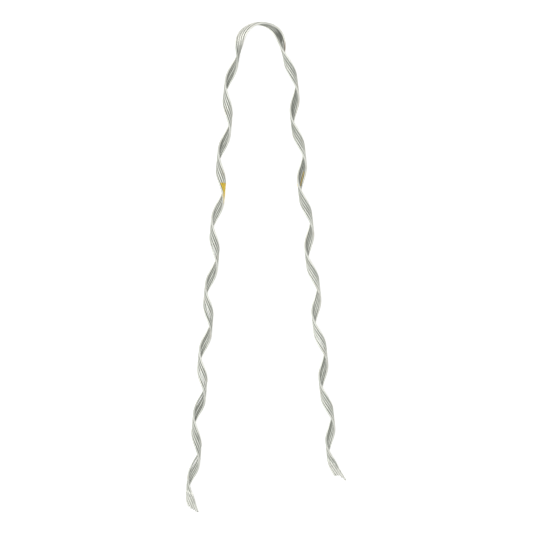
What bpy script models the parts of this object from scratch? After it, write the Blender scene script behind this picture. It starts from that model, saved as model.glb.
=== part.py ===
"""Preformed dead end grip: five formed wires, laid side by side and bent into a hairpin.

The wires make one ribbon, which winds round the centre line of the hairpin as an open
helix. The loop goes over a thimble, and the two legs wrap onto the strand. The grip lies
flat as it would on a table: loop towards +Y, tips towards -Y, lowest wires at Z = 0.
Everything is in metres, and distances run along the centre line from the crown of the
loop, minus on the left leg and plus on the right.
"""

import math

import bmesh
import bpy
from mathutils import Vector

# Wires, and the helix that they are formed to
WIRE_COUNT = 5
WIRE_DIAMETER = 0.0024
BORE_DIAMETER = 0.0104
WIRE_CLEARANCE = 0.00012

# Loop and legs, along the centre line of the helix
LOOP_RADIUS = 0.0319
LOOP_SHOULDER = 5.0
LEG_LENGTH = 0.5797
LOOP_OFF_CENTRE = 0.0225
LEFT_TILT_AT_LOOP = math.radians(5.68)
LEFT_TILT_AT_TIP = math.radians(5.06)
RIGHT_TILT_AT_LOOP = math.radians(6.08)
RIGHT_TILT_AT_TIP = math.radians(6.24)

# Lay of the ribbon: length of one turn, and how far the loop is unwound
PITCH_AT_LOOP = 0.0928
PITCH_AT_TIP = 0.0820
CROWN_ANGLE = math.radians(-7.6)
LOOP_UNWIND_TURNS = 0.0742
LOOP_UNWIND_REACH = 0.0276

# Tips: how far each wire's cut ends lie along from the last wire's, and the straight tails
LEFT_STAGGER = (0.0066, 0.0042, 0.0030, 0.0011, 0.0)
RIGHT_STAGGER = (0.0070, 0.0026, -0.0005, -0.0008, 0.0)
SHORTEST_TAIL = 0.010
TAIL_EASING = 0.004

# Places where the bond has let go: wires before the seam, distance, length and width
OPEN_SEAMS = (
    (1, -0.313, 0.040, 0.0006),
    (2, -0.390, 0.050, 0.0010),
    (2, -0.476, 0.050, 0.0009),
    (4, -0.505, 0.045, 0.0009),
    (4, -0.586, 0.050, 0.0011),
    (3, 0.431, 0.050, 0.0008),
)

# Paint mark on the outside of each leg, where the strand's end is to reach
LEFT_MARK_START = 0.2208
RIGHT_MARK_START = 0.2067
MARK_LENGTH = 0.028
FIRST_MARKED_WIRE = 1

# Fineness of the solids
STATIONS_PER_TURN = 12
WIRE_SIDES = 8
WALK_STEP = 0.001

HELIX_RADIUS = (BORE_DIAMETER + WIRE_DIAMETER) / 2
MIDDLE_WIRE = (WIRE_COUNT - 1) / 2
LEFT = -1
RIGHT = 1
TILT_AT_LOOP = {LEFT: LEFT_TILT_AT_LOOP, RIGHT: RIGHT_TILT_AT_LOOP}
TILT_AT_TIP = {LEFT: LEFT_TILT_AT_TIP, RIGHT: RIGHT_TILT_AT_TIP}
STAGGER = {LEFT: LEFT_STAGGER, RIGHT: RIGHT_STAGGER}
MARK_START = {LEFT: LEFT_MARK_START, RIGHT: RIGHT_MARK_START}


def clear_scene():
    for item in list(bpy.data.objects):
        bpy.data.objects.remove(item)


def side_of(distance):
    return LEFT if distance < 0 else RIGHT


def loop_swing(side):
    """Angle that one half of the loop turns through, from the crown to its leg."""
    return math.pi / 2 - TILT_AT_LOOP[side]


def leg_start(side):
    """Distance from the crown to where a leg begins."""
    return LOOP_RADIUS * loop_swing(side)


def leg_end(side):
    """Signed distance of the last wire's cut end."""
    return side * (leg_start(side) + LEG_LENGTH) - LOOP_OFF_CENTRE


def cut_end(side, wire):
    return leg_end(side) + STAGGER[side][wire]


def heading(side, along):
    """Angle that the centre line has turned through, this far along one side."""
    share = along / leg_start(side)
    bent = share / (1 + share**LOOP_SHOULDER) ** (1 / LOOP_SHOULDER)
    run = max(0.0, along - leg_start(side)) / LEG_LENGTH
    return loop_swing(side) * bent + (TILT_AT_LOOP[side] - TILT_AT_TIP[side]) * run


def forward(side, along):
    """Direction of the centre line, away from the crown."""
    angle = heading(side, along)
    return Vector((side * math.cos(angle), -math.sin(angle), 0))


def walk(side):
    """Points of the centre line in small equal steps, from the crown past the tip."""
    points = [Vector((0, 0, 0))]
    steps = math.ceil((leg_start(side) + LEG_LENGTH + LOOP_OFF_CENTRE) / WALK_STEP) + 50
    for index in range(steps):
        points.append(points[-1] + forward(side, (index + 0.5) * WALK_STEP) * WALK_STEP)
    return points


CENTRE_LINE = {LEFT: walk(LEFT), RIGHT: walk(RIGHT)}


def centre_line(distance):
    """Point on the centre line, and the direction in its plane that points out of the loop."""
    side = side_of(distance)
    along = abs(distance)
    index = int(along / WALK_STEP)
    rest = along - index * WALK_STEP
    point = CENTRE_LINE[side][index] + forward(side, along - rest / 2) * rest
    ahead = forward(side, along)
    return point, Vector((-side * ahead.y, side * ahead.x, 0))


def turns(distance):
    """Turns that the ribbon makes between the crown and this distance."""
    tightening = (1 / PITCH_AT_TIP - 1 / PITCH_AT_LOOP) / LEG_LENGTH
    wound = distance / PITCH_AT_LOOP + tightening * distance * abs(distance) / 2
    return wound - LOOP_UNWIND_TURNS * math.erf(distance / LOOP_UNWIND_REACH)


def ribbon_angle(distance):
    """Angle of the ribbon's middle about the centre line: 0 is outward, a quarter turn is up."""
    return CROWN_ANGLE - math.tau * turns(distance)


def wire_step(distance):
    """Angle between neighbouring wires that leaves the clearance between them here."""
    nudge = WIRE_DIAMETER
    side, along = side_of(distance), abs(distance)
    curve = (heading(side, along + nudge) - heading(side, along)) / nudge
    stretch = 1 + HELIX_RADIUS * curve * math.cos(ribbon_angle(distance))
    winding = (turns(distance + nudge) - turns(distance)) / nudge
    slope = math.tau * HELIX_RADIUS * winding / stretch
    across = (WIRE_DIAMETER + WIRE_CLEARANCE) * math.hypot(1, slope)
    return 2 * math.asin(across / (2 * HELIX_RADIUS))


def seam_opening(wire, distance):
    """Angle that open seams push one wire aside, at this distance."""
    opening = 0.0
    for wires_before, middle, length, width in OPEN_SEAMS:
        away = abs(distance - middle) / (length / 2)
        if away < 1:
            push = width / HELIX_RADIUS * math.cos(away * math.pi / 2) ** 2
            opening += push / 2 if wire >= wires_before else -push / 2
    return opening


def distance_at(turn):
    """Distance at which the ribbon has made this many turns, by bisection."""
    low, high = leg_end(LEFT) * 2, leg_end(RIGHT) * 2
    for _ in range(50):
        middle = (low + high) / 2
        if turns(middle) < turn:
            low = middle
        else:
            high = middle
    return middle


def tail_start(side):
    """Signed distance at which a tail leaves the helix: where the ribbon last lies on top."""
    on_top = CROWN_ANGLE / math.tau - 0.25
    latest = side * (turns(leg_end(side) - side * SHORTEST_TAIL) - on_top)
    return distance_at(on_top + side * math.floor(latest))


TAIL_START = {LEFT: tail_start(LEFT), RIGHT: tail_start(RIGHT)}


def on_helix(angle, distance):
    """Point of the helix at an angle about the centre line, and the direction out to it."""
    middle, outward = centre_line(distance)
    radial = outward * math.cos(angle) + Vector((0, 0, math.sin(angle)))
    return middle + radial * HELIX_RADIUS, radial


def wire_frame(wire, distance):
    """Centre of one wire, and the direction from the centre line out through it.

    Each tail leaves the helix straight on along the middle of the ribbon, and its wires
    ease into running side by side.
    """
    side = side_of(distance)
    leaving = TAIL_START[side]
    past = side * (distance - leaving)
    held = distance
    drift = Vector((0, 0, 0))
    if past > 0:
        held = leaving + side * TAIL_EASING * math.tanh(past / TAIL_EASING)
        start = on_helix(ribbon_angle(leaving), leaving)[0]
        nudge = side * WIRE_DIAMETER / 10
        before = on_helix(ribbon_angle(leaving - nudge), leaving - nudge)[0]
        straight_on = start + (start - before) * past / abs(nudge)
        drift = straight_on - on_helix(ribbon_angle(held), held)[0]
    angle = ribbon_angle(held) + (wire - MIDDLE_WIRE) * wire_step(held) + seam_opening(wire, held)
    point, radial = on_helix(angle, held)
    return point + drift, radial


def wire_ring(wire, distance):
    """Ring of points round one wire, square to its run, with the first point facing out."""
    nudge = WIRE_DIAMETER / 10
    centre, radial = wire_frame(wire, distance)
    ahead = wire_frame(wire, distance + nudge)[0]
    behind = wire_frame(wire, distance - nudge)[0]
    tangent = (ahead - behind).normalized()
    across = tangent.cross(radial).normalized()
    out = across.cross(tangent)
    ring = []
    for side in range(WIRE_SIDES):
        angle = math.tau * side / WIRE_SIDES
        offset = out * math.cos(angle) + across * math.sin(angle)
        ring.append(centre + offset * WIRE_DIAMETER / 2)
    return ring


def mark_edges():
    """Distances at which the paint marks begin and end."""
    edges = []
    for side in (LEFT, RIGHT):
        edges.append(side * MARK_START[side])
        edges.append(side * (MARK_START[side] + MARK_LENGTH))
    return edges


def shared_stations():
    """Distances of the rings that all wires share: equal steps of twist, and the edges of the marks."""
    first = math.ceil(turns(leg_end(LEFT)) * STATIONS_PER_TURN)
    last = math.floor((turns(leg_end(RIGHT)) + 1) * STATIONS_PER_TURN)
    edges = mark_edges()
    steps = [distance_at(step / STATIONS_PER_TURN) for step in range(first, last + 1)]
    clear = [at for at in steps if min(abs(at - edge) for edge in edges) > WIRE_DIAMETER]
    return sorted(clear + edges)


SHARED_STATIONS = shared_stations()


def wire_stations(wire):
    """Distances of one wire's rings, from cut end to cut end."""
    start, end = cut_end(LEFT, wire), cut_end(RIGHT, wire)
    inner = [at for at in SHARED_STATIONS if start + WIRE_DIAMETER < at < end - WIRE_DIAMETER]
    return [start, *inner, end]


def is_marked(wire, distance):
    past = abs(distance) - MARK_START[side_of(distance)]
    return wire >= FIRST_MARKED_WIRE and 0 < past < MARK_LENGTH


def faces_out(side):
    """Whether this strip of a wire looks away from the centre line."""
    return math.cos(math.tau * (side + 0.5) / WIRE_SIDES) > 0


def wire_mesh(wire, lift):
    """Closed mesh of one wire, with paint on the outside where the mark crosses it."""
    shape = bmesh.new()
    stations = wire_stations(wire)
    rings = []
    for distance in stations:
        rings.append([shape.verts.new(point + lift) for point in wire_ring(wire, distance)])
    for index in range(len(stations) - 1):
        here, there = rings[index], rings[index + 1]
        marked = is_marked(wire, (stations[index] + stations[index + 1]) / 2)
        for side in range(WIRE_SIDES):
            after = (side + 1) % WIRE_SIDES
            face = shape.faces.new((here[side], here[after], there[after], there[side]))
            face.material_index = 1 if marked and faces_out(side) else 0
    shape.faces.new(reversed(rings[0]))
    shape.faces.new(rings[-1])
    bmesh.ops.recalc_face_normals(shape, faces=shape.faces)
    mesh = bpy.data.meshes.new(f"formed_wire_{wire + 1}")
    shape.to_mesh(mesh)
    shape.free()
    return mesh


def resting_lift():
    """Shift that puts the lowest wires on Z = 0 and the middle of the outline over the origin."""
    points = []
    for wire in range(WIRE_COUNT):
        for distance in wire_stations(wire):
            points.extend(wire_ring(wire, distance))
    low = Vector([min(point[axis] for point in points) for axis in range(3)])
    high = Vector([max(point[axis] for point in points) for axis in range(3)])
    middle = (low + high) / 2
    return Vector((-middle.x, -middle.y, -low.z))


def material(name, colour, metallic, roughness):
    made = bpy.data.materials.new(name)
    made.use_nodes = True
    shader = made.node_tree.nodes["Principled BSDF"]
    shader.inputs["Base Color"].default_value = (*colour, 1)
    shader.inputs["Metallic"].default_value = metallic
    shader.inputs["Roughness"].default_value = roughness
    return made


def add_wire(wire, lift, paint):
    mesh = wire_mesh(wire, lift)
    mesh.materials.append(material(f"coated_steel_{wire + 1}", (0.62, 0.63, 0.59), 0.85, 0.42))
    mesh.materials.append(paint)
    mesh.shade_smooth()
    mesh.set_sharp_from_angle(angle=math.radians(50))
    made = bpy.data.objects.new(mesh.name, mesh)
    bpy.context.scene.collection.objects.link(made)
    return made


def main():
    clear_scene()
    lift = resting_lift()
    paint = material("mark_paint", (0.72, 0.50, 0.09), 0.0, 0.55)
    for wire in range(WIRE_COUNT):
        add_wire(wire, lift, paint)


main()
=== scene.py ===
"""Looks of a preformed dead end grip: five coated steel wires, bonded side by side.

The ribbon of wires winds round the centre line of a hairpin as an open helix, by the same
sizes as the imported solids, but with a smaller clearance between the wires. This script
makes the wires finer, with sheared ends, bond lines between them, grit on the inside of
the legs and paint marks. Metres throughout, and distances run along the centre line from
the crown of the loop, minus on the left leg and plus on the right. The coordinates that
the materials read are in millimetres.
"""

import math

import bpy
import numpy as np
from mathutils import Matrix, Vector


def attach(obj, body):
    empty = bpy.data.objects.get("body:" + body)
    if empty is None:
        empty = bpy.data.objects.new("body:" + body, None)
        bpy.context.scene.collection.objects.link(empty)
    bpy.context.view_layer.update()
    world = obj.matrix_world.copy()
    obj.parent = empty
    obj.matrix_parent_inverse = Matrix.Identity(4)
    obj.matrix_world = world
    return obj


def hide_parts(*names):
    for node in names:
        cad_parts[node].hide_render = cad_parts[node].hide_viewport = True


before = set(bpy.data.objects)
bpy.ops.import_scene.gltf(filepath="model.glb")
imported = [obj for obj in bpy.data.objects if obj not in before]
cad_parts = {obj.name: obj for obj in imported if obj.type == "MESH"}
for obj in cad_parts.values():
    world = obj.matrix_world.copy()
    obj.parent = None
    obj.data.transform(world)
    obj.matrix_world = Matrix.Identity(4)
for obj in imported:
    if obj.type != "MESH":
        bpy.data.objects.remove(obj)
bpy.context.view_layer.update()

# Wires, and the helix that they are formed to
WIRE_COUNT = 5
WIRE_DIAMETER = 0.0024
BORE_DIAMETER = 0.0104
WIRE_CLEARANCE = 0.00004

# Loop and legs, along the centre line of the helix
LOOP_RADIUS = 0.0319
LOOP_SHOULDER = 5.0
LEG_LENGTH = 0.5797
LOOP_OFF_CENTRE = 0.0225
LEFT_TILT_AT_LOOP = math.radians(5.68)
LEFT_TILT_AT_TIP = math.radians(5.06)
RIGHT_TILT_AT_LOOP = math.radians(6.08)
RIGHT_TILT_AT_TIP = math.radians(6.24)

# Lay of the ribbon
PITCH_AT_LOOP = 0.0928
PITCH_AT_TIP = 0.0820
CROWN_ANGLE = math.radians(-7.6)
LOOP_UNWIND_TURNS = 0.0742
LOOP_UNWIND_REACH = 0.0276

# Tips
LEFT_STAGGER = (0.0066, 0.0042, 0.0030, 0.0011, 0.0)
RIGHT_STAGGER = (0.0070, 0.0026, -0.0005, -0.0008, 0.0)
SHORTEST_TAIL = 0.010
TAIL_EASING = 0.004

# Sheared ends: slope and rounding of a cut, and for each end the way that it leans
SHEAR_SLOPE = math.tan(math.radians(12)) / 2
EDGE_ROUNDING = 0.00028
ROUNDING_IN_RADIUS = 0.8
SHEARED_ENDS = ((0, 1.1), (-1, 4.0))

# Places where the bond has let go: wires before the seam, distance, length and width
OPEN_SEAMS = (
    (1, -0.313, 0.040, 0.0006),
    (2, -0.390, 0.050, 0.0010),
    (2, -0.476, 0.050, 0.0009),
    (4, -0.505, 0.045, 0.0009),
    (4, -0.586, 0.050, 0.0011),
    (3, 0.431, 0.050, 0.0008),
)

# Share of a seam that has no bond, the gap that counts as open, and the painted groove shade that
# stays there
SEAM_SHARE_WITHOUT_BOND = 0.86
OPEN_GAP = 0.0006
GROOVE_SHADE_AT_OPEN_SEAM = 0.78

# Bond line: outline across and out from the line between two wires, taper and roughness
BOND_OUTLINE = (
    (-0.00046, -0.00096),
    (-0.00024, -0.00086),
    (0.0, -0.00081),
    (0.00024, -0.00086),
    (0.00046, -0.00096),
    (0.00030, -0.00070),
    (0.00005, 0.00005),
    (-0.00005, 0.00005),
    (-0.00030, -0.00070),
)
BOND_SURFACE = -0.0006
BOND_ROUGHNESS = 0.00006
BOND_TAPER = 0.004
BOND_THINNEST = 0.25
BOND_END_FROM_TIP = 0.024
BOND_END_SPREAD = 0.003
BOND_END_PHASES = (5.0, 7.0)
BOND_SMOOTHING = np.ones(3) / 3
BOND_SEED = 40

# Grit: where it lies, how it thins out towards its two ends, and its grains
GRIT_START = 0.090
GRIT_END_FROM_TIP = 0.027
GRIT_FADE_IN = 0.06
GRIT_LEAST_AT_START = 0.05
GRIT_FADE_OUT = 0.004
GRIT_LEAST_AT_END = 0.1
GRIT_SPREAD = math.radians(62)
GRIT_OFF_FREE_EDGE = 0.25
GRIT_SEED = 7
GRAINS_PER_WIRE = 2600
GRAIN_SIZES = (0.00011, 0.00026)
GRAIN_SHRINK = (0.6, 1.0)
GRAIN_STRETCH = (0.6, 1.25)
GRAIN_SKEW = (-0.2, 0.2)
GRAIN_SEAT = 0.25
GRAIN_CORNERS = ((1, 0, 0), (-1, 0, 0), (0, 1, 0), (0, -1, 0), (0, 0, 1), (0, 0, -1))
GRAIN_FACES = ((0, 2, 4), (2, 1, 4), (1, 3, 4), (3, 0, 4), (2, 0, 5), (1, 2, 5), (3, 1, 5), (0, 3, 5))

# How much paler or darker each wire is than the rest, on the inside and on the outside
FILM_TONES = {-1: (0.17, -0.03, 0.15, -0.04, 0.0), 1: (0.0, -0.11, -0.02, 0.02, 0.16)}
COAT_TONES = {-1: (0.02, -0.01, 0.02, -0.02, 0.01), 1: (0.0, -0.03, -0.01, 0.06, 0.04)}

# Free edge of the ribbon: how it keeps grit off, and how far on the left leg it stays clean of grit
# film and carries a painted highlight
FREE_EDGE_WEIGHT = 1.6
CLEAN_LIT_EDGE_WEIGHT = 2
EDGE_HIGHLIGHT_FACING = 0.5
CLEAN_LIT_EDGE_REACH = 0.46

# Fineness
MM = 1000
STATION_STEP = 0.0010
WIRE_SIDES = 18
SHARP_EDGE = math.radians(50)
WALK_STEP = 0.00025
WALK_REACH = 0.75
TAIL_SEARCH_START = 0.3
TAIL_SEARCH_STEP = 0.00002
ON_TOP = 0.999999
NUDGE = WIRE_DIAMETER / 10

# Shift of the noise from one wire or bond line to the next, in millimetres
WIRE_NOISE_SHIFT = 700
BOND_NOISE_SHIFT = 90

HELIX_RADIUS = (BORE_DIAMETER + WIRE_DIAMETER) / 2
WIRE_RADIUS = WIRE_DIAMETER / 2
MIDDLE_WIRE = (WIRE_COUNT - 1) / 2
LAST_WIRE = WIRE_COUNT - 1
UP = np.array((0.0, 0.0, 1.0))
STAGGER = {-1: LEFT_STAGGER, 1: RIGHT_STAGGER}
erf = np.vectorize(math.erf)


def by_side(side, left, right):
    return np.where(side < 0, left, right)


def leg_start(side):
    """Distance from the crown to where a leg begins."""
    return LOOP_RADIUS * (math.pi / 2 - by_side(side, LEFT_TILT_AT_LOOP, RIGHT_TILT_AT_LOOP))


def leg_end(side):
    """Signed distance of the last wire's cut end."""
    return side * (leg_start(side) + LEG_LENGTH) - LOOP_OFF_CENTRE


def cut_end(side, wire):
    return float(leg_end(side)) + STAGGER[side][wire]


def heading(side, along):
    """Angle that the centre line has turned through, this far along one side."""
    tilt_at_loop = by_side(side, LEFT_TILT_AT_LOOP, RIGHT_TILT_AT_LOOP)
    tilt_at_tip = by_side(side, LEFT_TILT_AT_TIP, RIGHT_TILT_AT_TIP)
    share = along / leg_start(side)
    bent = share / (1 + share**LOOP_SHOULDER) ** (1 / LOOP_SHOULDER)
    run = np.maximum(0, along - leg_start(side)) / LEG_LENGTH
    return (math.pi / 2 - tilt_at_loop) * bent + (tilt_at_loop - tilt_at_tip) * run


def walk():
    """Distances along the whole centre line, and its points in the plane of the hairpin."""
    count = int(WALK_REACH / WALK_STEP)
    along = (np.arange(count) + 0.5) * WALK_STEP
    halves = []
    for side in (-1, 1):
        angle = heading(side, along)
        steps = np.stack((side * np.cos(angle), -np.sin(angle)), axis=1) * WALK_STEP
        halves.append(np.vstack((np.zeros(2), np.cumsum(steps, axis=0))))
    distances = np.arange(-count, count + 1) * WALK_STEP
    return distances, np.vstack((halves[0][::-1], halves[1][1:]))


WALK_DISTANCES, WALK_POINTS = walk()


def centre_line(distance):
    """Points on the centre line, and the directions in its plane that point out of the loop."""
    side = by_side(distance, -1, 1)
    angle = heading(side, np.abs(distance))
    flat = np.zeros(len(distance))
    x = np.interp(distance, WALK_DISTANCES, WALK_POINTS[:, 0])
    y = np.interp(distance, WALK_DISTANCES, WALK_POINTS[:, 1])
    outward = np.stack((side * np.sin(angle), np.cos(angle), flat), axis=1)
    return np.stack((x, y, flat), axis=1), outward


def turns(distance):
    """Turns that the ribbon makes between the crown and this distance."""
    tightening = (1 / PITCH_AT_TIP - 1 / PITCH_AT_LOOP) / LEG_LENGTH
    wound = distance / PITCH_AT_LOOP + tightening * distance * np.abs(distance) / 2
    return wound - LOOP_UNWIND_TURNS * erf(distance / LOOP_UNWIND_REACH)


def ribbon_angle(distance):
    """Angle of the ribbon's middle about the centre line: 0 is outward, a quarter turn is up."""
    return CROWN_ANGLE - math.tau * turns(distance)


def tail_start(side):
    """Signed distance at which a tail leaves the helix: where the ribbon last lies on top."""
    last_start = float(side * leg_end(side)) - SHORTEST_TAIL
    tried = np.arange(TAIL_SEARCH_START, last_start, TAIL_SEARCH_STEP)
    return side * tried[np.sin(ribbon_angle(side * tried)) > ON_TOP][-1]


TAIL_START = {side: tail_start(side) for side in (-1, 1)}


def wire_step(distance):
    """Angle between neighbouring wires that leaves the clearance between them here."""
    ahead = WIRE_DIAMETER
    side, along = by_side(distance, -1, 1), np.abs(distance)
    curve = (heading(side, along + ahead) - heading(side, along)) / ahead
    stretch = 1 + HELIX_RADIUS * curve * np.cos(ribbon_angle(distance))
    winding = (turns(distance + ahead) - turns(distance)) / ahead
    slope = math.tau * HELIX_RADIUS * winding / stretch
    across = (WIRE_DIAMETER + WIRE_CLEARANCE) * np.hypot(1, slope)
    return 2 * np.arcsin(across / (2 * HELIX_RADIUS))


def seam_opening(place, distance):
    """Angle that open seams push a wire aside. A place between two wires counts as halfway."""
    opening = np.zeros(len(distance))
    for wires_before, middle, length, width in OPEN_SEAMS:
        away = np.minimum(1, np.abs(distance - middle) / (length / 2))
        push = width / HELIX_RADIUS * np.cos(away * math.pi / 2) ** 2
        opening += push / 2 * np.clip(2 * (place - wires_before) + 1, -1, 1)
    return opening


def on_helix(angle, distance):
    """Points of the helix at an angle about the centre line, and the directions out to them."""
    middle, outward = centre_line(distance)
    radial = outward * np.cos(angle)[:, None] + UP * np.sin(angle)[:, None]
    return middle + radial * HELIX_RADIUS, radial


def ribbon_middle(distance):
    return on_helix(ribbon_angle(distance), distance)[0]


def place_on_ribbon(place, distance):
    """Points on the ribbon, and the directions out through them. Whole places are wires' centres."""
    side = by_side(distance, -1, 1)
    leaving = by_side(distance, TAIL_START[-1], TAIL_START[1])
    past = np.maximum(0, side * (distance - leaving))
    held = np.where(past > 0, leaving + side * TAIL_EASING * np.tanh(past / TAIL_EASING), distance)
    start = ribbon_middle(leaving)
    direction = (start - ribbon_middle(leaving - side * NUDGE)) / NUDGE
    drift = start + direction * past[:, None] - ribbon_middle(held)
    angle = ribbon_angle(held) + (place - MIDDLE_WIRE) * wire_step(held)
    point, radial = on_helix(angle + seam_opening(place, held), held)
    return point + np.where(past[:, None] > 0, drift, 0), radial


def unit(vectors):
    return vectors / np.linalg.norm(vectors, axis=-1, keepdims=True)


def frames_along(place, distance):
    """Centres, run, outward and across directions of a line on the ribbon."""
    centre, radial = place_on_ribbon(place, distance)
    ahead = place_on_ribbon(place, distance + NUDGE)[0]
    behind = place_on_ribbon(place, distance - NUDGE)[0]
    tangent = unit(ahead - behind)
    across = unit(np.cross(tangent, radial))
    return centre, tangent, np.cross(across, tangent), across


def tube_faces(rings, sides):
    """Quads between rings of points that follow each other."""
    ring = np.arange(rings - 1)[:, None] * sides
    here = np.arange(sides)[None, :]
    after = (here + 1) % sides
    corners = (ring + here, ring + after, ring + sides + after, ring + sides + here)
    return np.stack(corners, axis=2).reshape(-1, 4)


def cap_faces(first, last, sides):
    """The two end faces of a tube, from the first points of its first and last rings."""
    return [list(range(first, first + sides))[::-1], list(range(last, last + sides))]


def mesh_object(name, points, faces, materials):
    mesh = bpy.data.meshes.new(name)
    mesh.from_pydata(points.tolist(), [], faces)
    for material in materials:
        mesh.materials.append(material)
    made = bpy.data.objects.new(name, mesh)
    bpy.context.scene.collection.objects.link(made)
    return made


def add_attribute(made, name, values):
    """Keeps one number or one vector for each point, which the materials read."""
    vectors = values.ndim == 2
    kind, key = ("FLOAT_VECTOR", "vector") if vectors else ("FLOAT", "value")
    attribute = made.data.attributes.new(name, kind, "POINT")
    attribute.data.foreach_set(key, values.astype(np.float32).ravel())


# Wires

def wire_distances(wire):
    start, end = cut_end(-1, wire), cut_end(1, wire)
    count = math.ceil((end - start - 2 * EDGE_ROUNDING) / STATION_STEP)
    inner = np.linspace(start + EDGE_ROUNDING, end - EDGE_ROUNDING, count)
    return np.concatenate(([start], inner, [end]))


def wire_rings(wire):
    """Angles round a wire, and its distances, centres, run and directions out to each side."""
    distance = wire_distances(wire)
    centre, tangent, out, across = frames_along(wire, distance)
    angle = np.arange(WIRE_SIDES) * math.tau / WIRE_SIDES
    cosine, sine = np.cos(angle)[None, :, None], np.sin(angle)[None, :, None]
    return angle, distance, centre, tangent, out[:, None] * cosine + across[:, None] * sine


def wire_mesh_parts(wire):
    """Points and faces of a wire with its two sheared, rounded ends."""
    angle, distance, centre, tangent, ring = wire_rings(wire)
    radius = np.full(len(distance), WIRE_RADIUS)
    radius[[0, -1]] -= EDGE_ROUNDING * ROUNDING_IN_RADIUS
    points = centre[:, None] + ring * radius[:, None, None]
    for end, turned in SHEARED_ENDS:
        slant = np.cos(angle - turned - wire) * radius[end] * SHEAR_SLOPE
        points[end] += tangent[end] * slant[:, None]
    points = points.reshape(-1, 3)
    faces = tube_faces(len(distance), WIRE_SIDES).tolist()
    return points, faces + cap_faces(0, len(points) - WIRE_SIDES, WIRE_SIDES)


def towards(neighbour, distance, centre, tangent):
    """Directions square to a wire that lead to a neighbour, and the gaps between the two."""
    offset = place_on_ribbon(neighbour, distance)[0] - centre
    offset -= tangent * np.sum(offset * tangent, axis=1)[:, None]
    return unit(offset), np.linalg.norm(offset, axis=1) - WIRE_DIAMETER


def groove_closeness(wire, distance, centre, tangent, ring):
    """How near each point of a wire is to where a neighbour touches it: 1 there, 0 on the crest."""
    closeness = np.zeros(ring.shape[:2])
    for neighbour in (wire - 1, wire + 1):
        if 0 <= neighbour < WIRE_COUNT:
            direction, gap = towards(neighbour, distance, centre, tangent)
            # Open seams keep part of the painted shade in the groove
            shut = np.clip(1 - gap / OPEN_GAP, GROOVE_SHADE_AT_OPEN_SEAM, 1)
            facing = np.einsum("nij,nj->ni", ring, direction)
            closeness = np.maximum(closeness, shut[:, None] * facing)
    return closeness.ravel()


def freeness(wire, distance, centre, tangent, normal):
    """How far directions point away from the ribbon, on its two edge wires: 1 at the free edge."""
    if 0 < wire < LAST_WIRE:
        return np.zeros(normal.shape[:-1])
    neighbour = 1 if wire == 0 else wire - 1
    direction = towards(neighbour, distance, centre, tangent)[0]
    return np.maximum(0, -np.einsum("n...j,nj->n...", normal, direction))


def add_wire_attributes(made, wire):
    """Gives the materials each point's place on the wire and on the ribbon."""
    angle, distance, centre, tangent, ring = wire_rings(wire)
    along = np.repeat(distance, WIRE_SIDES)
    around = np.tile(angle, len(distance))
    outward = np.cos(around)
    out_mm, across_mm = WIRE_RADIUS * MM * outward, WIRE_RADIUS * MM * np.sin(around)
    shifted = along * MM + WIRE_NOISE_SHIFT * wire
    add_attribute(made, "wire_coords", np.stack((shifted, out_mm, across_mm), axis=1))
    on_ribbon = (along * MM, WIRE_DIAMETER * MM * wire + across_mm, out_mm)
    add_attribute(made, "ribbon_coords", np.stack(on_ribbon, axis=1))
    add_attribute(made, "film_tone", by_side(along, FILM_TONES[-1][wire], FILM_TONES[1][wire]))
    add_attribute(made, "coat_tone", by_side(along, COAT_TONES[-1][wire], COAT_TONES[1][wire]))
    add_attribute(made, "along", along)
    add_attribute(made, "outward", outward)
    add_attribute(made, "from_tip", np.minimum(along - cut_end(-1, wire), cut_end(1, wire) - along))
    add_attribute(made, "groove", groove_closeness(wire, distance, centre, tangent, ring))
    free = freeness(wire, distance, centre, tangent, ring).ravel()
    # Clean stretch of an edge wire: kept free of grit film, and given a painted highlight
    clean_lit_on_left = (wire == LAST_WIRE) * (along > -CLEAN_LIT_EDGE_REACH)
    clean = by_side(along, clean_lit_on_left, wire == 0) * 1.0
    add_attribute(made, "inward", -outward - FREE_EDGE_WEIGHT * free - CLEAN_LIT_EDGE_WEIGHT * clean)
    # Painted highlight on the clean stretch, on the sides that do not face outward
    add_attribute(made, "edge_highlight", clean * (outward < EDGE_HIGHLIGHT_FACING))


def add_wire(wire, lift, materials):
    points, faces = wire_mesh_parts(wire)
    made = mesh_object(f"wire_{wire + 1}", points + lift, faces, materials)
    made.data.polygons.foreach_set("material_index", [0] * (len(faces) - 2) + [1, 1])
    add_wire_attributes(made, wire)
    made.data.shade_smooth()
    made.data.set_sharp_from_angle(angle=SHARP_EDGE)
    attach(made, "root")
    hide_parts(f"formed_wire_{wire + 1}")


def resting_lift():
    """Shift that puts the lowest wires on Z = 0 and the middle of the outline over the origin."""
    points = np.vstack([wire_mesh_parts(wire)[0] for wire in range(WIRE_COUNT)])
    low, high = points.min(axis=0), points.max(axis=0)
    return np.array((-(low[0] + high[0]) / 2, -(low[1] + high[1]) / 2, -low[2]))


# Bond lines

def bond_stretches(wires_before):
    """Distances between which the bond holds: from tip to tip, but not across open seams."""
    left, right = BOND_END_PHASES
    start = float(leg_end(-1)) + BOND_END_FROM_TIP + BOND_END_SPREAD * math.sin(left * wires_before)
    end = float(leg_end(1)) - BOND_END_FROM_TIP + BOND_END_SPREAD * math.cos(right * wires_before)
    gaps = []
    for before, middle, length, _ in OPEN_SEAMS:
        if before == wires_before:
            half = length / 2 * SEAM_SHARE_WITHOUT_BOND
            gaps.append((middle - half, middle + half))
    stretches = []
    for gap_start, gap_end in sorted(gaps):
        stretches.append((start, gap_start))
        start = gap_end
    stretches.append((start, end))
    return stretches


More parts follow.
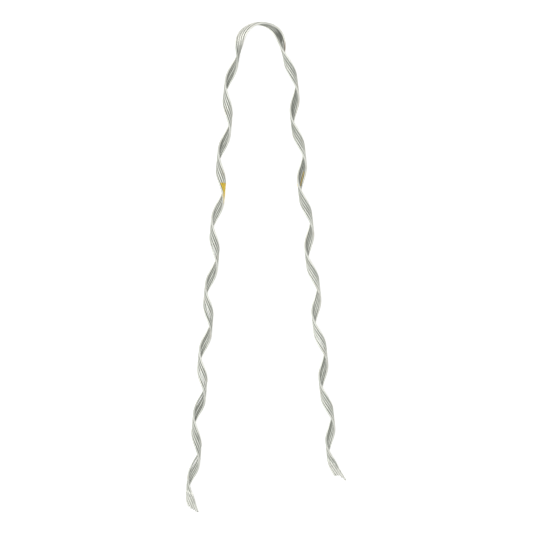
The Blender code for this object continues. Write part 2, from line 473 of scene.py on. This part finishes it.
def bond_rings(wires_before, start, end, draw):
    """Distances along one stretch of bond, and the points of its outline at each of them."""
    outline = np.array(BOND_OUTLINE)
    distance = np.linspace(start, end, math.ceil((end - start) / STATION_STEP))
    centre, _, out, across = frames_along(wires_before - 0.5, distance)
    fullness = np.clip(np.minimum(distance - start, end - distance) / BOND_TAPER, BOND_THINNEST, 1)
    rough = np.convolve(draw.normal(0, 1, len(distance)), BOND_SMOOTHING, mode="same")
    depth = outline[None, :, 1]
    height = depth * fullness[:, None] + BOND_ROUGHNESS * rough[:, None] * (depth < BOND_SURFACE)
    sideways = across[:, None] * outline[None, :, 0, None]
    return distance, centre[:, None] + sideways + out[:, None] * height[:, :, None]


def add_bond(wires_before, lift, material):
    """Thin fillet of adhesive in the valley between two wires, on the inside of the ribbon."""
    draw = np.random.default_rng(BOND_SEED + wires_before)
    sides = len(BOND_OUTLINE)
    points, faces, caps, distances = [], [], [], []
    first = 0
    for start, end in bond_stretches(wires_before):
        distance, rings = bond_rings(wires_before, start, end, draw)
        points.append(rings.reshape(-1, 3))
        faces += (tube_faces(len(distance), sides) + first).tolist()
        last = first + (len(distance) - 1) * sides
        caps += cap_faces(first, last, sides)
        distances.append(distance)
        first = last + sides
    made = mesh_object(f"bond_{wires_before}", np.vstack(points) + lift, faces + caps, [material])
    along = np.repeat(np.concatenate(distances), sides)
    rest = np.tile(np.array(BOND_OUTLINE) * MM, (len(along) // sides, 1))
    shifted = along * MM + BOND_NOISE_SHIFT * wires_before
    add_attribute(made, "wire_coords", np.column_stack((shifted, rest)))
    made.data.shade_smooth()
    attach(made, "root")


# Grit

def random_turns(draw, count):
    """Random rotation matrices, from quaternions."""
    w, x, y, z = unit(draw.normal(size=(count, 4))).T
    rows = (
        (1 - 2 * (y * y + z * z), 2 * (x * y - z * w), 2 * (x * z + y * w)),
        (2 * (x * y + z * w), 1 - 2 * (x * x + z * z), 2 * (y * z - x * w)),
        (2 * (x * z - y * w), 2 * (y * z + x * w), 1 - 2 * (x * x + y * y)),
    )
    return np.array(rows).transpose(2, 0, 1)


def grit_distances(draw, wire):
    """Random distances on both legs, thinning out where the grit begins and ends."""
    found = []
    for side in (-1, 1):
        reach = side * cut_end(side, wire) - GRIT_END_FROM_TIP
        tried = draw.uniform(GRIT_START, reach, GRAINS_PER_WIRE // 2)
        begun = (tried - GRIT_START) / GRIT_FADE_IN + GRIT_LEAST_AT_START
        kept = draw.uniform(size=len(tried)) < begun
        kept &= draw.uniform(size=len(tried)) < (reach - tried) / GRIT_FADE_OUT + GRIT_LEAST_AT_END
        found.append(side * tried[kept])
    return np.concatenate(found)


def grain_seats(draw, wire):
    """Points on the inside of a wire where grains sit, and the directions out of it there."""
    distance = grit_distances(draw, wire)
    angle = math.pi + GRIT_SPREAD * draw.uniform(-1, 1, len(distance))
    centre, tangent, out, across = frames_along(wire, distance)
    normal = out * np.cos(angle)[:, None] + across * np.sin(angle)[:, None]
    seated = freeness(wire, distance, centre, tangent, normal) < GRIT_OFF_FREE_EDGE
    return centre[seated], normal[seated]


def add_grit(wire, lift, material):
    """Angular grains, half sunk in the adhesive on the inside of one wire."""
    draw = np.random.default_rng(GRIT_SEED + wire)
    centre, normal = grain_seats(draw, wire)
    count, corners = len(centre), len(GRAIN_CORNERS)
    size = draw.uniform(*GRAIN_SIZES, count) * draw.uniform(*GRAIN_SHRINK, count)
    seat = centre + normal * (WIRE_RADIUS + size * GRAIN_SEAT)[:, None]
    shaped = np.array(GRAIN_CORNERS, float)[None] * draw.uniform(*GRAIN_STRETCH, (count, corners, 1))
    shaped = shaped + draw.uniform(*GRAIN_SKEW, (count, corners, 3))
    turned = np.einsum("nij,nkj->nki", random_turns(draw, count), shaped)
    points = seat[:, None] + turned * size[:, None, None]
    faces = np.array(GRAIN_FACES)[None] + corners * np.arange(count)[:, None, None]
    faces = faces.reshape(-1, 3).tolist()
    made = mesh_object(f"grit_{wire + 1}", points.reshape(-1, 3) + lift, faces, [material])
    add_attribute(made, "grain", np.repeat(draw.uniform(size=count), corners))
    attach(made, "root")


# Material nodes

# How near to the crown a number changes from the left leg's to the right leg's
LEG_CHANGE = 0.001


class Nodes:
    """Short way to add shader nodes to one material and join them."""

    def __init__(self, name):
        self.material = bpy.data.materials.new(name)
        self.material.use_nodes = True
        self.tree = self.material.node_tree
        self.shader = self.tree.nodes["Principled BSDF"]

    def put(self, socket, value):
        if isinstance(value, bpy.types.NodeSocket):
            self.tree.links.new(value, socket)
        else:
            socket.default_value = value

    def node(self, kind, **inputs):
        made = self.tree.nodes.new(kind)
        for key, value in inputs.items():
            self.put(made.inputs[key.replace("_", " ")], value)
        return made

    def attribute(self, name, output="Fac"):
        made = self.tree.nodes.new("ShaderNodeAttribute")
        made.attribute_name = name
        return made.outputs[output]

    def scaled(self, vector, scale):
        made = self.tree.nodes.new("ShaderNodeMapping")
        self.put(made.inputs["Vector"], vector)
        made.inputs["Scale"].default_value = scale
        return made.outputs["Vector"]

    def noise(self, vector, scale, detail=3.0, roughness=0.55):
        made = self.node("ShaderNodeTexNoise", Scale=1.0, Detail=detail, Roughness=roughness)
        self.put(made.inputs["Vector"], self.scaled(vector, scale))
        return made.outputs["Fac"]

    def math(self, operation, first, second=0.0):
        made = self.tree.nodes.new("ShaderNodeMath")
        made.operation = operation
        self.put(made.inputs[0], first)
        self.put(made.inputs[1], second)
        return made.outputs[0]

    def total(self, first, *others):
        for other in others:
            first = self.math("ADD", first, other)
        return first

    def product(self, first, *others):
        for other in others:
            first = self.math("MULTIPLY", first, other)
        return first

    def spread(self, noise, width):
        """Noise from 0 to 1, moved to lie about zero and scaled to this width."""
        return self.product(self.math("SUBTRACT", noise, 0.5), width)

    def without(self, value, share):
        """A value, less the share of it that something else covers."""
        return self.product(value, self.math("SUBTRACT", 1.0, share))

    def ramp(self, value, low, high, to_low=0.0, to_high=1.0):
        """Smooth step of a value between two limits."""
        made = self.tree.nodes.new("ShaderNodeMapRange")
        made.interpolation_type = "SMOOTHSTEP"
        for index, number in enumerate((value, low, high, to_low, to_high)):
            self.put(made.inputs[index], number)
        return made.outputs[0]

    def window(self, value, rising, falling, share):
        """Share that comes up between one pair of limits and goes away between another."""
        return self.product(self.ramp(value, *rising), self.ramp(value, *falling, share, 0.0))

    def by_leg(self, left, right):
        """One number on the left leg and another on the right."""
        return self.ramp(self.attribute("along"), -LEG_CHANGE, LEG_CHANGE, left, right)

    def mix(self, factor, first, second):
        made = self.tree.nodes.new("ShaderNodeMix")
        made.data_type = "RGBA"
        self.put(made.inputs["Factor"], factor)
        for socket, value in ((made.inputs[6], first), (made.inputs[7], second)):
            self.put(socket, value if isinstance(value, bpy.types.NodeSocket) else (*value, 1))
        return made.outputs[2]

    def bump(self, height, distance, strength=1.0, onto=None):
        made = self.node("ShaderNodeBump", Height=height, Distance=distance, Strength=strength)
        if onto is not None:
            self.put(made.inputs["Normal"], onto)
        return made.outputs["Normal"]

    def finish(self, colour, metallic, roughness, normal=None):
        self.put(self.shader.inputs["Base Color"], colour)
        self.put(self.shader.inputs["Metallic"], metallic)
        self.put(self.shader.inputs["Roughness"], roughness)
        if normal is not None:
            self.put(self.shader.inputs["Normal"], normal)
        return self.material


# Colours

DARK_COAT = (0.43, 0.445, 0.40)
MID_COAT = (0.63, 0.645, 0.59)
PALE_COAT = (0.80, 0.81, 0.75)
WARM_COAT = (0.55, 0.50, 0.40)
# Pale cream of the painted highlights on the loop and on the free edge
CREAM_HIGHLIGHT = (0.86, 0.855, 0.785)
CLEAN_TIP = (0.74, 0.745, 0.69)
CLEAN_RIGHT_TIP = (0.80, 0.80, 0.74)
TIP_RIM = (0.90, 0.90, 0.84)
# Painted shade in the grooves between the wires
GROOVE_SHADE = (0.07, 0.074, 0.062)
GRIT_FILM = (0.34, 0.355, 0.315)
GRIT_FILM_PALE = (0.80, 0.815, 0.75)
# Painted shade on the inside of the loop's right shoulder, dark and brownish
DARK_PAINTED_SHADE = (0.13, 0.135, 0.115)
BROWN_PAINTED_SHADE = (0.30, 0.24, 0.17)
PAINT = (0.84, 0.63, 0.083)
PAINT_DEEP = (0.69, 0.465, 0.05)
OCHRE_PAINT = (0.56, 0.39, 0.06)
CUT_STEEL = (0.42, 0.42, 0.41)
CUT_STEEL_DARK = (0.20, 0.19, 0.18)
ADHESIVE_DARK = (0.06, 0.064, 0.054)
ADHESIVE_PALE = (0.19, 0.195, 0.165)
GRAIN_DARK = (0.16, 0.165, 0.14)
GRAIN_MID = (0.46, 0.47, 0.42)
GRAIN_PALE = (0.72, 0.72, 0.66)
DULL_EDGE = (0.25, 0.25, 0.25, 1)

# Noises: scale in three directions, the first of them along the wires, then detail
STREAK_NOISE = ((0.035, 1.9, 1.9), 4.0)
PATCH_NOISE = ((0.11, 0.55, 0.55), 2.0)
FINE_NOISE = ((1.3, 4.5, 4.5), 3.0)
WARMTH_NOISE = ((0.07, 0.35, 0.35), 3.0)
BROAD_NOISE = ((0.030, 0.22, 0.22), 2.0)
BAND_NOISE = ((0.022, 0.30, 0.30), 1.0)

# Noises of even scale, with a roughness for the speckle, and scratches on the cut ends
SPECKLE_NOISE = ((2.6, 2.6, 2.6), 5.0, 0.7)
FIBRE_NOISE = ((220, 220, 220), 4.0)
SCRATCH_NOISE = ((900, 6000, 900), 3.0)

# Coat: how the noises add up to its tone, and the tones at which its colours come in
STREAKS_IN_TONE, PATCHES_IN_TONE, BROAD_IN_TONE = 0.45, 0.25, 0.30
# Crests painted paler as a highlight, groove sides painted darker as shade
CREST_HIGHLIGHT_TO_GROOVE_SHADE = (0.0, 0.7, 0.06, -0.07)
MID_TONES = (0.40, 0.49)
PALE_TONES = (0.48, 0.58)
WARM_PATCHES = (0.56, 0.72, 0.0, 0.55)

# Ragged bands near the tips: limits of the distance from the tip, and shares
TIP_RAGGEDNESS = 0.020
RIGHT_TIP_SHORTER = 0.005
THICK_COAT_BAND = ((0.034, 0.037), (0.040, 0.052), 0.5)
CLEAN_TIP_BAND = (0.032, 0.034, 0.8, 0.0)
RIM_BAND = ((0.0308, 0.0316), (0.0332, 0.0340), 0.9)
DARK_BAND = ((0.0285, 0.0292), (0.0300, 0.0308), 0.5)

# Painted shade and painted highlights on the loop, and a darker stretch on the outside of the left
# shoulder: wires, distances, inside or outside, colour, share
LOOP_SHADE_AND_HIGHLIGHT_TONES = (
    ((1, 2, 3), (0.020, 0.035), -1, DARK_PAINTED_SHADE, 0.90),
    ((4,), (0.036, 0.052), -1, BROWN_PAINTED_SHADE, 0.70),
    ((0, 1), (0.026, 0.075), -1, CREAM_HIGHLIGHT, 0.90),
    ((2, 3), (0.039, 0.070), -1, CREAM_HIGHLIGHT, 0.75),
    ((0, 1, 2, 3, 4), (-0.038, -0.002), 1, CREAM_HIGHLIGHT, 0.85),
    ((0, 1, 2, 3, 4), (-0.066, -0.042), 1, DARK_COAT, 0.70),
)
LOOP_TONE_UNEVENNESS = 0.030
LOOP_TONE_FADE = 0.005
LOOP_TONE_FACING = (-0.15, 0.35)

# Painted highlight on the clean free edge: distances over which it fades, and its shares before and
# after
EDGE_HIGHLIGHT_FADE = (0.30, 0.42, 0.40, 0.10)

# Film of grit and adhesive on the inside of the legs
SPECKLE_IN_EDGE = 0.5
FILM_FACING = (0.45, 0.95)
FILM_BEGINS = (0.055, 0.085)
FILM_ENDS_FROM_TIP = (0.024, 0.030)
SPECKLE_IN_FILM, BANDS_IN_FILM = 0.30, 0.70
FILM_TONE_BY_DISTANCE = (0.10, 0.42, -0.05, 0.05)
FILM_PALE_TONES = (0.40, 0.64)
FILM_COVER = 0.85
METALLIC_BY_FILM = (0.0, 1.0, 0.48, 0.10)
COAT_ROUGHNESS = (0.3, 0.7, 0.32, 0.46)
FILM_ROUGHNESS = 0.28

# Relief of the coat and of the film: height in metres, and strength
COAT_BUMP = (0.00004, 0.5)
FILM_BUMP = (0.00022, 0.8)

# Painted shade in the grooves: how deep it begins, and its share by distance and near the tips
GROOVE_SHADE_UNEVENNESS = 0.9
GROOVE_SHADE_DEPTHS = (0.50, 0.86)
GROOVE_SHADE_BY_DISTANCE = (0.27, 0.42, 0.90, 0.60)
GROOVE_SHADE_NEAR_TIP = (0.025, 0.035, 0.6, 1.0)
GROOVE_SHADE_ROUGHNESS = 0.8

# Paint mark on the outside of each leg: where it lies, and how it ends and wears
LEFT_MARK_START = 0.2208
RIGHT_MARK_START = 0.2067
MARK_LENGTH = 0.028
SOLID_MARK_LENGTH = 0.0190
FIRST_MARKED_WIRE = 1
STREAK_WIRE = 3
MARK_UNEVENNESS = 0.004
MARK_EDGE = 0.0003
SOLID_MARK_FADE = 0.001
MARK_FADE = 0.002
MARK_WEAR = 0.8
WORN_OFF_LEFT, WORN_OFF_RIGHT = 0.0, 0.75
MARK_FACING = (-0.15, 0.05)
STREAK_FACING = (-0.15, 0.10)
STREAK_SHARE = 0.6
EDGE_STREAK_BEGINS = (0.012, 0.016)
EDGE_STREAK_FACING = (0.2, 0.6)
EDGE_STREAK_SHARE = 0.7
OCHRE_STREAK_FACING = (-0.80, -0.60, 0.8, 0.0)
DEEP_PAINT_TONES = (0.35, 0.65)

# Cut ends, adhesive and grains: where their colours and roughness lie in their noise
SCRATCH_TONES = (0.35, 0.65)
SCRATCH_ROUGHNESS = (0.3, 0.7, 0.35, 0.6)
SCRATCH_BUMP = 0.00003
CUT_STEEL_METALLIC = 0.9
ADHESIVE_TONES = (0.40, 0.66)
ADHESIVE_ROUGHNESS = (0.3, 0.7, 0.5, 0.8)
ADHESIVE_BUMP = 0.00015
ADHESIVE_METALLIC = 0.1
GRAIN_MID_TONES = (0.0, 0.6)
GRAIN_PALE_TONES = (0.75, 1.0)
GRAIN_ROUGHNESS = (0.0, 1.0, 0.65, 0.35)


def coat_colour(n, coords, streaks, patches):
    """Zinc coat with drawing streaks, a painted highlight on the crests that turns to painted shade
    towards the grooves, and warm patches.
    """
    broad = n.noise(n.attribute("ribbon_coords", "Vector"), *BROAD_NOISE)
    tone = n.total(
        n.product(streaks, STREAKS_IN_TONE),
        n.product(patches, PATCHES_IN_TONE),
        n.product(broad, BROAD_IN_TONE),
        n.attribute("coat_tone"),
        # Painted highlight on the crests, painted shade towards the grooves
        n.ramp(n.attribute("groove"), *CREST_HIGHLIGHT_TO_GROOVE_SHADE),
    )
    colour = n.mix(n.ramp(tone, *MID_TONES), DARK_COAT, MID_COAT)
    colour = n.mix(n.ramp(tone, *PALE_TONES), colour, PALE_COAT)
    warmth = n.noise(coords, *WARMTH_NOISE)
    return n.mix(n.ramp(warmth, *WARM_PATCHES), colour, WARM_COAT)


def tip_colour(n, colour, patches):
    """Lays a thick band of coat, a pale rim and a clean stretch over the coat near the tips."""
    ragged = n.total(
        n.attribute("from_tip"),
        n.product(patches, TIP_RAGGEDNESS),
        n.product(n.by_leg(0.0, 1.0), RIGHT_TIP_SHORTER),
    )
    clean = n.mix(n.by_leg(0.0, 1.0), CLEAN_TIP, CLEAN_RIGHT_TIP)
    colour = n.mix(n.window(ragged, *THICK_COAT_BAND), colour, DARK_COAT)
    colour = n.mix(n.ramp(ragged, *CLEAN_TIP_BAND), colour, clean)
    colour = n.mix(n.window(ragged, *RIM_BAND), colour, TIP_RIM)
    return n.mix(n.window(ragged, *DARK_BAND), colour, DARK_COAT)


def loop_colour(n, wire, colour, streaks):
    """Lays the painted shade, the painted highlights and the darker stretch of the loop over the
    coat.
    """
    place = n.total(n.attribute("along"), n.spread(streaks, LOOP_TONE_UNEVENNESS))
    for wires, (start, end), face, tone, share in LOOP_SHADE_AND_HIGHLIGHT_TONES:
        if wire in wires:
            rising = (start - LOOP_TONE_FADE, start + LOOP_TONE_FADE)
            falling = (end - LOOP_TONE_FADE, end + LOOP_TONE_FADE)
            facing = n.ramp(n.product(n.attribute("outward"), face), *LOOP_TONE_FACING)
            colour = n.mix(n.product(n.window(place, rising, falling, share), facing), colour, tone)
    return colour


def edge_highlight_colour(n, wire, colour, distance):
    """Lays a painted highlight, pale cream, on the clean stretch of the free edge of an edge wire."""
    if 0 < wire < LAST_WIRE:
        return colour
    share = n.product(n.attribute("edge_highlight"), n.ramp(distance, *EDGE_HIGHLIGHT_FADE))
    return n.mix(share, colour, CREAM_HIGHLIGHT)


def film_share(n, distance, speckle):
    """Where the film lies: on the inside of the ribbon, from near the loop to near the tips."""
    facing = n.total(n.attribute("inward"), n.product(speckle, SPECKLE_IN_EDGE))
    begun = n.ramp(distance, *FILM_BEGINS)
    ended = n.ramp(n.attribute("from_tip"), *FILM_ENDS_FROM_TIP)
    return n.product(n.ramp(facing, *FILM_FACING), n.product(begun, ended))


def film_colour(n, distance, speckle):
    """Film of grit, thinner and paler on some wires and in some places."""
    bands = n.noise(n.attribute("ribbon_coords", "Vector"), *BAND_NOISE)
    thin = n.total(
        n.product(speckle, SPECKLE_IN_FILM),
        n.product(bands, BANDS_IN_FILM),
        n.attribute("film_tone"),
        n.ramp(distance, *FILM_TONE_BY_DISTANCE),
    )
    return n.mix(n.ramp(thin, *FILM_PALE_TONES), GRIT_FILM, GRIT_FILM_PALE)


def groove_shade_share(n, distance, patches):
    """Where shade is painted in the grooves between the wires."""
    depth = n.total(n.attribute("groove"), n.spread(patches, GROOVE_SHADE_UNEVENNESS))
    near_tip = n.ramp(n.attribute("from_tip"), *GROOVE_SHADE_NEAR_TIP)
    return n.product(n.ramp(depth, *GROOVE_SHADE_DEPTHS), n.ramp(distance, *GROOVE_SHADE_BY_DISTANCE), near_tip)


def paint_share(n, wire, distance, patches, streaks):
    """Where the paint marks lie: a band on the outside of each leg, thinning into streaks."""
    outward = n.attribute("outward")
    start = n.by_leg(LEFT_MARK_START, RIGHT_MARK_START)
    past = n.total(n.math("SUBTRACT", distance, start), n.spread(patches, MARK_UNEVENNESS))
    fading = (MARK_LENGTH - MARK_FADE, MARK_LENGTH)
    if wire < FIRST_MARKED_WIRE:
        run = n.window(past, EDGE_STREAK_BEGINS, fading, EDGE_STREAK_SHARE)
        return n.product(run, n.by_leg(1.0, 0.0), n.ramp(outward, *EDGE_STREAK_FACING))
    begins = (-MARK_EDGE, MARK_EDGE)
    worn = n.total(outward, n.spread(streaks, MARK_WEAR))
    solid = n.window(past, begins, (SOLID_MARK_LENGTH - SOLID_MARK_FADE, SOLID_MARK_LENGTH), 1.0)
    left_over = n.math("SUBTRACT", worn, n.by_leg(WORN_OFF_LEFT, WORN_OFF_RIGHT))
    share = n.product(solid, n.ramp(left_over, *MARK_FACING))
    if wire == FIRST_MARKED_WIRE:
        tail = n.product(n.window(past, begins, fading, STREAK_SHARE), n.by_leg(1.0, 0.0))
        share = n.math("MAXIMUM", share, n.product(tail, n.ramp(worn, *STREAK_FACING)))
    if wire == STREAK_WIRE:
        run = n.product(solid, n.ramp(outward, *OCHRE_STREAK_FACING))
        share = n.math("MAXIMUM", share, n.product(run, n.by_leg(0.0, 1.0)))
    return share


def paint_colour(n, wire, fine):
    painted = n.mix(n.ramp(fine, *DEEP_PAINT_TONES), PAINT_DEEP, PAINT)
    if wire == STREAK_WIRE:
        painted = n.mix(n.by_leg(0.0, 1.0), painted, OCHRE_PAINT)
    return painted


# Materials

def coated_steel(wire):
    """Dull zinc coat, painted shade in the grooves, grit film inside the legs, and the paint marks.
    """
    n = Nodes(f"coated_steel_{wire + 1}")
    coords = n.attribute("wire_coords", "Vector")
    distance = n.math("ABSOLUTE", n.attribute("along"))
    streaks = n.noise(coords, *STREAK_NOISE)
    patches = n.noise(coords, *PATCH_NOISE)
    fine = n.noise(coords, *FINE_NOISE)
    speckle = n.noise(coords, *SPECKLE_NOISE)

    coat = coat_colour(n, coords, streaks, patches)
    coat = tip_colour(n, coat, patches)
    coat = loop_colour(n, wire, coat, streaks)
    coat = edge_highlight_colour(n, wire, coat, distance)

    film = film_share(n, distance, speckle)
    colour = n.mix(n.product(film, FILM_COVER), coat, film_colour(n, distance, speckle))
    metallic = n.ramp(film, *METALLIC_BY_FILM)
    rough = n.total(n.ramp(fine, *COAT_ROUGHNESS), n.product(film, FILM_ROUGHNESS))

    paint = paint_share(n, wire, distance, patches, streaks)
    colour = n.mix(paint, colour, paint_colour(n, wire, fine))
    metallic = n.without(metallic, paint)

    groove_shade = groove_shade_share(n, distance, patches)
    # Painted shade in the grooves, less metallic and rougher there
    colour = n.mix(groove_shade, colour, GROOVE_SHADE)
    metallic = n.without(metallic, groove_shade)
    rough = n.math("MAXIMUM", rough, n.product(groove_shade, GROOVE_SHADE_ROUGHNESS))

    normal = n.bump(streaks, *COAT_BUMP)
    normal = n.bump(n.product(speckle, film), *FILM_BUMP, normal)
    n.shader.inputs["Specular Tint"].default_value = DULL_EDGE
    return n.finish(colour, metallic, rough, normal)


def cut_steel():
    """Sheared end of a wire: bare steel with scratches across it."""
    n = Nodes("cut_steel")
    place = n.node("ShaderNodeTexCoord").outputs["Object"]
    scratches = n.noise(place, *SCRATCH_NOISE)
    colour = n.mix(n.ramp(scratches, *SCRATCH_TONES), CUT_STEEL_DARK, CUT_STEEL)
    rough = n.ramp(scratches, *SCRATCH_ROUGHNESS)
    return n.finish(colour, CUT_STEEL_METALLIC, rough, n.bump(scratches, SCRATCH_BUMP))


def adhesive():
    """Bond between the wires: dried, grey and slightly glossy, with grit in it."""
    n = Nodes("adhesive")
    speckle = n.noise(n.attribute("wire_coords", "Vector"), *SPECKLE_NOISE)
    colour = n.mix(n.ramp(speckle, *ADHESIVE_TONES), ADHESIVE_DARK, ADHESIVE_PALE)
    rough = n.ramp(speckle, *ADHESIVE_ROUGHNESS)
    return n.finish(colour, ADHESIVE_METALLIC, rough, n.bump(speckle, ADHESIVE_BUMP))


def grit():
    """Grains of abrasive, each a little lighter or darker than the next."""
    n = Nodes("grit")
    grain = n.attribute("grain")
    colour = n.mix(n.ramp(grain, *GRAIN_MID_TONES), GRAIN_DARK, GRAIN_MID)
    colour = n.mix(n.ramp(grain, *GRAIN_PALE_TONES), colour, GRAIN_PALE)
    return n.finish(colour, 0.0, n.ramp(grain, *GRAIN_ROUGHNESS))


# Floor, light and camera

FLOOR_HALF = 3.0
FLOOR_DROP = 0.00005
FLOOR_DARK = (0.60, 0.60, 0.60)
FLOOR_PALE = (0.64, 0.64, 0.64)
FLOOR_ROUGHNESS = 0.9
FLOOR_GLOW = 0.58
SKY_COLOUR = (0.98, 1.0, 0.97, 1)
SKY_STRENGTH = 0.22

# Lights, all turned to the origin: name, place, width and depth, power in watts
LIGHTS = (
    ("overhead", (-0.4, 0.1, 3.6), (3.0, 3.0), 80),
    ("key_left", (-1.5, 0.35, 1.15), (1.6, 2.4), 12),
    ("back", (0.2, 1.9, 1.3), (1.6, 1.2), 6),
    ("right", (1.7, -0.3, 1.3), (1.6, 1.2), 8),
    ("front", (-0.2, -1.9, 1.2), (1.6, 1.2), 4),
)

FRAME_WIDTH = 0.6929
FRAME_CENTRE = (0.0007, 0.0006)
CAMERA_HEIGHT = 3.2
SENSOR_WIDTH = 0.036
VIEW_REACH = 50


def add_floor():
    half = FLOOR_HALF
    corners = ((-half, -half), (half, -half), (half, half), (-half, half))
    points = np.array([(x, y, -FLOOR_DROP) for x, y in corners])
    n = Nodes("floor_paper")
    fibres = n.noise(n.node("ShaderNodeTexCoord").outputs["Object"], *FIBRE_NOISE)
    colour = n.mix(fibres, FLOOR_DARK, FLOOR_PALE)
    n.shader.inputs["Emission Color"].default_value = (1, 1, 1, 1)
    n.shader.inputs["Emission Strength"].default_value = FLOOR_GLOW
    paper = n.finish(colour, 0.0, FLOOR_ROUGHNESS)
    floor = mesh_object("floor", points, [[0, 1, 2, 3]], [paper])


def add_light(name, place, size, power):
    lamp = bpy.data.lights.new(name, "AREA")
    lamp.shape = "RECTANGLE"
    lamp.size, lamp.size_y = size
    lamp.energy = power
    made = bpy.data.objects.new(name, lamp)
    made.location = place
    made.rotation_euler = (-Vector(place)).to_track_quat("-Z", "Y").to_euler()
    bpy.context.scene.collection.objects.link(made)


def add_world():
    world = bpy.data.worlds.new("studio")
    world.use_nodes = True
    background = world.node_tree.nodes["Background"]
    background.inputs["Color"].default_value = SKY_COLOUR
    background.inputs["Strength"].default_value = SKY_STRENGTH
    bpy.context.scene.world = world


def add_camera():
    camera = bpy.data.cameras.new("camera")
    camera.sensor_width = SENSOR_WIDTH * MM
    camera.lens = SENSOR_WIDTH * MM * CAMERA_HEIGHT / FRAME_WIDTH
    camera.clip_end = VIEW_REACH
    made = bpy.data.objects.new("camera", camera)
    made.location = (*FRAME_CENTRE, CAMERA_HEIGHT)
    bpy.context.scene.collection.objects.link(made)
    bpy.context.scene.camera = made


def main():
    lift = resting_lift()
    cut = cut_steel()
    bond = adhesive()
    grains = grit()
    for wire in range(WIRE_COUNT):
        add_wire(wire, lift, [coated_steel(wire), cut])
        add_grit(wire, lift, grains)
    for wires_before in range(1, WIRE_COUNT):
        add_bond(wires_before, lift, bond)
    add_floor()
    add_world()
    for light in LIGHTS:
        add_light(*light)
    add_camera()
    bpy.context.scene.view_settings.view_transform = "Standard"


main()
